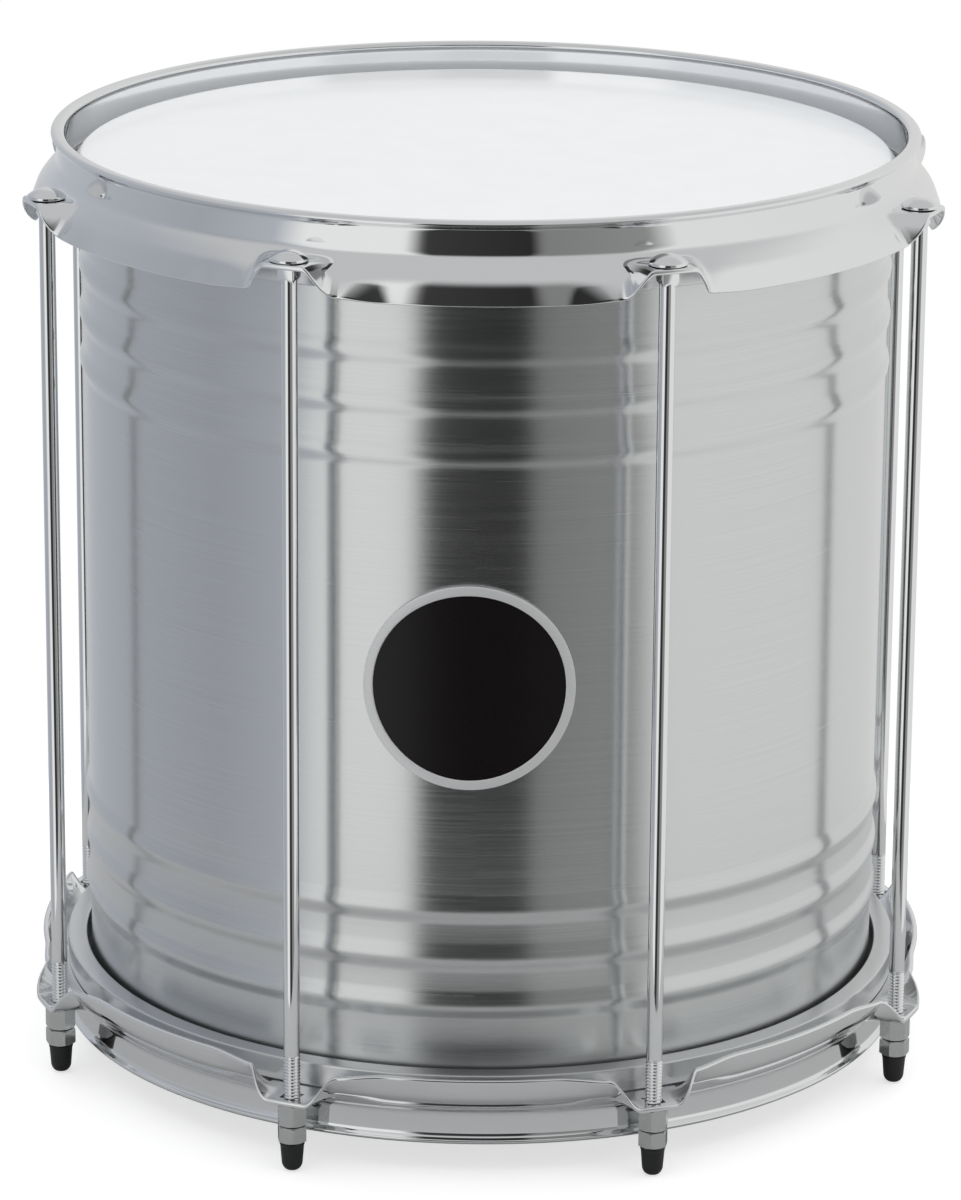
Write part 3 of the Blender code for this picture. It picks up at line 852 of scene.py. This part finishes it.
def build_world(settings):
    """A soft tent: white to the camera; its light has a dark panel in front, brighter sides and top."""
    world = bpy.data.worlds.new("Tent")
    bpy.context.scene.world = world
    world.use_nodes = True
    tree = world.node_tree
    light = tree.nodes["Background"]
    place = tree.nodes.new("ShaderNodeTexCoord")
    split = tree.nodes.new("ShaderNodeSeparateXYZ")
    tree.links.new(place.outputs["Generated"], split.inputs[0])
    back = math_node(tree, "MULTIPLY", split.outputs["Y"], -1.0)
    turn = math_node(tree, "ARCTAN2", split.outputs["X"], back)
    part = math_node(tree, "ADD", math_node(tree, "DIVIDE", turn, 2 * pi), 0.5)
    walls = tree.nodes.new("ShaderNodeValToRGB")
    tree.links.new(part, walls.inputs[0])
    cool, plain = (0.95, 0.99, 1.07, 1.0), (1.0, 1.0, 0.985, 1.0)
    # Bearing of each point of the walls in degrees from the camera's side, its level and its tint.
    panels = (
        (-180, 0.82, plain), (-150, 0.60, cool), (-80, 0.46, cool), (-56, 0.55, cool), (-47, 1.0, plain),
        (-20, 1.0, plain), (-15, 0.05, plain), (13, 0.03, plain), (16, 0.26, plain), (44, 0.32, plain),
        (52, 0.92, plain), (110, 0.90, plain), (180, 0.82, plain),
    )
    ramp = walls.color_ramp
    for degrees, level, tint in panels[1:-1]:
        ramp.elements.new(degrees / 360 + 0.5).color = [level * channel for channel in tint]
    for element, (degrees, level, tint) in ((ramp.elements[0], panels[0]), (ramp.elements[-1], panels[-1])):
        element.color = [level * channel for channel in tint]
    roof_start, roof_end, roof_colour = 0.50, 0.85, (0.66, 0.66, 0.66, 1.0)
    above = tree.nodes.new("ShaderNodeMapRange")
    above.interpolation_type = "SMOOTHSTEP"
    above.inputs["From Min"].default_value = roof_start
    above.inputs["From Max"].default_value = roof_end
    tree.links.new(split.outputs["Z"], above.inputs["Value"])
    # A Mix node has its colours at inputs 6 and 7 and at output 2.
    blend = tree.nodes.new("ShaderNodeMix")
    blend.data_type = "RGBA"
    blend.inputs[7].default_value = roof_colour
    tree.links.new(above.outputs[0], blend.inputs[0])
    tree.links.new(walls.outputs[0], blend.inputs[6])
    tree.links.new(blend.outputs[2], light.inputs["Color"])
    light.inputs["Strength"].default_value = settings.ambient
    white = tree.nodes.new("ShaderNodeBackground")
    mix = tree.nodes.new("ShaderNodeMixShader")
    tree.links.new(ray_mask(tree, ("Is Camera Ray",)), mix.inputs[0])
    tree.links.new(light.outputs[0], mix.inputs[1])
    tree.links.new(white.outputs[0], mix.inputs[2])
    white.inputs["Color"].default_value = (1.0, 1.0, 1.0, 1.0)
    tree.links.new(mix.outputs[0], tree.nodes["World Output"].inputs["Surface"])


def build_floor(settings):
    """A pale floor disc that keeps the drum's shadow, is white to the camera elsewhere and dark in metal."""
    tone, camera_level, mirror_level, below_feet = 0.55, 0.66, 0.05, 0.0002
    bm = bmesh.new()
    bmesh.ops.create_circle(bm, cap_ends=True, segments=FLOOR_STEPS, radius=settings.floor)
    disc = bpy.data.meshes.new("studio_floor")
    bm.to_mesh(disc)
    bm.free()
    floor_obj = bpy.data.objects.new("studio_floor", disc)
    floor_obj.location.z = -below_feet
    bpy.context.scene.collection.objects.link(floor_obj)
    made = bpy.data.materials.new("Pale floor")
    made.use_nodes = True
    tree = made.node_tree
    shader = tree.nodes["Principled BSDF"]
    shader.inputs["Base Color"].default_value = (tone, tone, tone, 1.0)
    shader.inputs["Roughness"].default_value = 0.9
    glow = tree.nodes.new("ShaderNodeEmission")
    camera_glow = math_node(tree, "MULTIPLY", ray_mask(tree, ("Is Camera Ray",)), camera_level)
    in_mirrors = ray_mask(tree, ("Is Glossy Ray", "Is Transmission Ray"))
    mirrored = math_node(tree, "MULTIPLY", in_mirrors, mirror_level)
    tree.links.new(math_node(tree, "ADD", camera_glow, mirrored), glow.inputs["Strength"])
    both = tree.nodes.new("ShaderNodeAddShader")
    tree.links.new(shader.outputs[0], both.inputs[0])
    tree.links.new(glow.outputs[0], both.inputs[1])
    facing, clear = tree.nodes.new("ShaderNodeNewGeometry"), tree.nodes.new("ShaderNodeBsdfTransparent")
    one_sided = tree.nodes.new("ShaderNodeMixShader")
    tree.links.new(facing.outputs["Backfacing"], one_sided.inputs[0])
    tree.links.new(both.outputs[0], one_sided.inputs[1])
    tree.links.new(clear.outputs[0], one_sided.inputs[2])
    tree.links.new(one_sided.outputs[0], tree.nodes["Material Output"].inputs["Surface"])
    floor_obj.data.materials.append(made)


def build_camera(settings):
    """The camera at the photograph's viewing angle."""
    el, az = settings.elevation, settings.azimuth
    away = Vector((sin(az) * cos(el), -cos(az) * cos(el), sin(el)))
    start = Vector((0.0, 0.0, settings.aim_height)) + settings.distance * away
    aim = Vector((settings.aim_side, 0.0, settings.aim_height))
    forward = (aim - start).normalized()
    right = forward.cross(Vector((0.0, 0.0, 1.0))).normalized()
    up = right.cross(forward)
    turn = Matrix.Rotation(-settings.roll, 3, forward)
    right, up = turn @ right, turn @ up
    data = bpy.data.cameras.new("camera")
    data.sensor_width, data.lens = 36.0, settings.lens
    data.clip_start, data.clip_end = 0.05, 50.0
    camera = bpy.data.objects.new("camera", data)
    axes = (right, up, -forward)
    camera.matrix_world = Matrix([[*(axis[i] for axis in axes), start[i]] for i in range(3)] + [[0, 0, 0, 1]])
    bpy.context.scene.collection.objects.link(camera)
    bpy.context.scene.camera = camera


def build_lamps(settings):
    """One large softbox overhead. Metal doesn't mirror it, because it would burn out the hoop's shoulder."""
    data = bpy.data.lights.new("overhead_softbox", "AREA")
    data.shape, data.size, data.size_y = "RECTANGLE", 3.0, 3.0
    data.energy = settings.key
    lamp = bpy.data.objects.new("overhead_softbox", data)
    lamp.location = (0.0, 0.15, 1.9)
    lamp.visible_glossy = False
    bpy.context.scene.collection.objects.link(lamp)


class BuildShell(Operator):
    """Build the turned shell with its beads"""

    bl_idname = "repinique.shell"
    bl_label = "Shell"

    def execute(self, context):
        build_shell(context.scene.repinique_shell)
        return {"FINISHED"}


class BuildHeads(Operator):
    """Build both film heads"""

    bl_idname = "repinique.heads"
    bl_label = "Heads"

    def execute(self, context):
        build_heads(context.scene.repinique_head)
        return {"FINISHED"}


class BuildFleshHoops(Operator):
    """Build both aluminium flesh hoops"""

    bl_idname = "repinique.flesh_hoops"
    bl_label = "Flesh hoops"

    def execute(self, context):
        build_flesh_hoops(context.scene.repinique_hoop)
        return {"FINISHED"}


class BuildHoops(Operator):
    """Build both chromed triple-flanged hoops"""

    bl_idname = "repinique.hoops"
    bl_label = "Hoops"

    def execute(self, context):
        build_hoops(context.scene.repinique_hoop)
        return {"FINISHED"}


class BuildTuning(Operator):
    """Build the rods, nuts and end caps"""

    bl_idname = "repinique.tuning"
    bl_label = "Rods, nuts and caps"

    def execute(self, context):
        build_tuning(context.scene.repinique_tuning)
        return {"FINISHED"}


class BuildBadge(Operator):
    """Build the badge's rim and bare field"""

    bl_idname = "repinique.badge"
    bl_label = "Badge"

    def execute(self, context):
        build_badge(context.scene.repinique_badge)
        return {"FINISHED"}


class BuildStudio(Operator):
    """Build the camera, floor, lamp and world"""

    bl_idname = "repinique.studio"
    bl_label = "Studio"

    def execute(self, context):
        settings = context.scene.repinique_studio
        build_camera(settings)
        build_world(settings)
        build_lamps(settings)
        build_floor(settings)
        context.scene.view_settings.view_transform = "Standard"
        return {"FINISHED"}


STEPS = (BuildStudio, BuildShell, BuildHeads, BuildFleshHoops, BuildHoops, BuildTuning, BuildBadge)


class RepiniquePanel(Panel):
    """Lists the drum's pieces and their settings"""

    bl_idname = "VIEW3D_PT_repinique"
    bl_label = "Repinique"
    bl_space_type = "VIEW_3D"
    bl_region_type = "UI"
    bl_category = "Repinique"

    def draw(self, context):
        for step in STEPS:
            self.layout.operator(step.bl_idname)
        for attribute, group in SETTINGS:
            box = self.layout.box()
            box.label(text=group.__doc__)
            for name in group.__annotations__:
                box.prop(getattr(context.scene, attribute), name)


def register():
    """Register the settings, operators and panel."""
    for attribute, group in SETTINGS:
        bpy.utils.register_class(group)
        setattr(bpy.types.Scene, attribute, PointerProperty(type=group))
    for cls in (*STEPS, RepiniquePanel):
        bpy.utils.register_class(cls)


def unregister():
    """Remove them again."""
    for cls in (RepiniquePanel, *reversed(STEPS)):
        bpy.utils.unregister_class(cls)
    for attribute, group in reversed(SETTINGS):
        delattr(bpy.types.Scene, attribute)
        bpy.utils.unregister_class(group)


def main():
    """Build everything in order."""
    register()
    bpy.ops.repinique.studio()
    bpy.ops.repinique.shell()
    bpy.ops.repinique.heads()
    bpy.ops.repinique.flesh_hoops()
    bpy.ops.repinique.hoops()
    bpy.ops.repinique.tuning()
    bpy.ops.repinique.badge()


if __name__ == "__main__":
    main()
